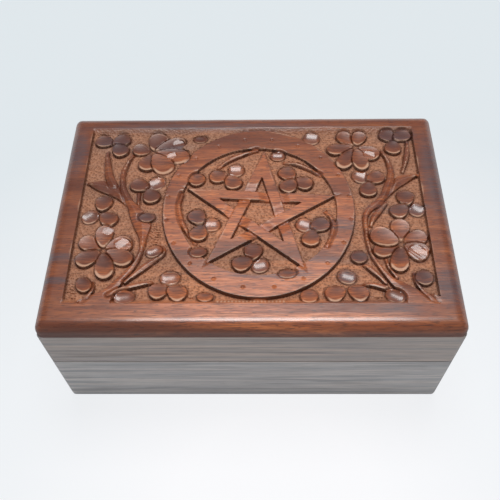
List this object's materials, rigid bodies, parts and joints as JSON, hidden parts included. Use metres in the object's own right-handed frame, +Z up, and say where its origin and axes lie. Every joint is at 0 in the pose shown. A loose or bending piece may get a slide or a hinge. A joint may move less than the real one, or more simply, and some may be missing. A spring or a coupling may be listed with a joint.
{
  "type": "carved wooden box",
  "caption": "Rectangular hardwood keepsake box with a hinged lid carved in relief with a star in a ring among flower scrolls; holds cards, papers and small keepsakes.",
  "frame": {"origin": "middle of the underside, on the surface that the box stands on", "axes": "+X to the right along the length, +Y to the back where the hinges are, +Z up"},
  "size_m": [0.152, 0.102, 0.06],
  "materials": {
    "wall_wood": "waxed rosewood, straight grain along the wall",
    "panel_wood": "oiled and waxed rosewood, hand carved",
    "floor_wood": "planed, unpolished",
    "hinge_brass": "pressed sheet brass, dulled",
    "screw_brass": "turned brass, dulled"
  },
  "bodies": {
    "base": {"base_front_wall": "wall_wood", "base_right_wall": "wall_wood", "base_back_wall": "wall_wood", "base_left_wall": "wall_wood", "base_floor": "floor_wood", "left_hinge_base_leaf": "hinge_brass", "right_hinge_base_leaf": "hinge_brass", "left_hinge_pin": "hinge_brass", "right_hinge_pin": "hinge_brass", "base_hinge_screws": "screw_brass"},
    "lid": {"lid_front_wall": "wall_wood", "lid_right_wall": "wall_wood", "lid_back_wall": "wall_wood", "lid_left_wall": "wall_wood", "lid_panel": "panel_wood", "left_hinge_lid_leaf": "hinge_brass", "right_hinge_lid_leaf": "hinge_brass", "lid_hinge_screws": "screw_brass"}
  },
  "joints": [
    {"name": "lid_hinge", "type": "hinge", "parent": "base", "child": "lid", "pos_m": [0, 0.048, 0.0333], "axis": [-1, 0, 0], "range_deg": [0, 104]}
  ]
}
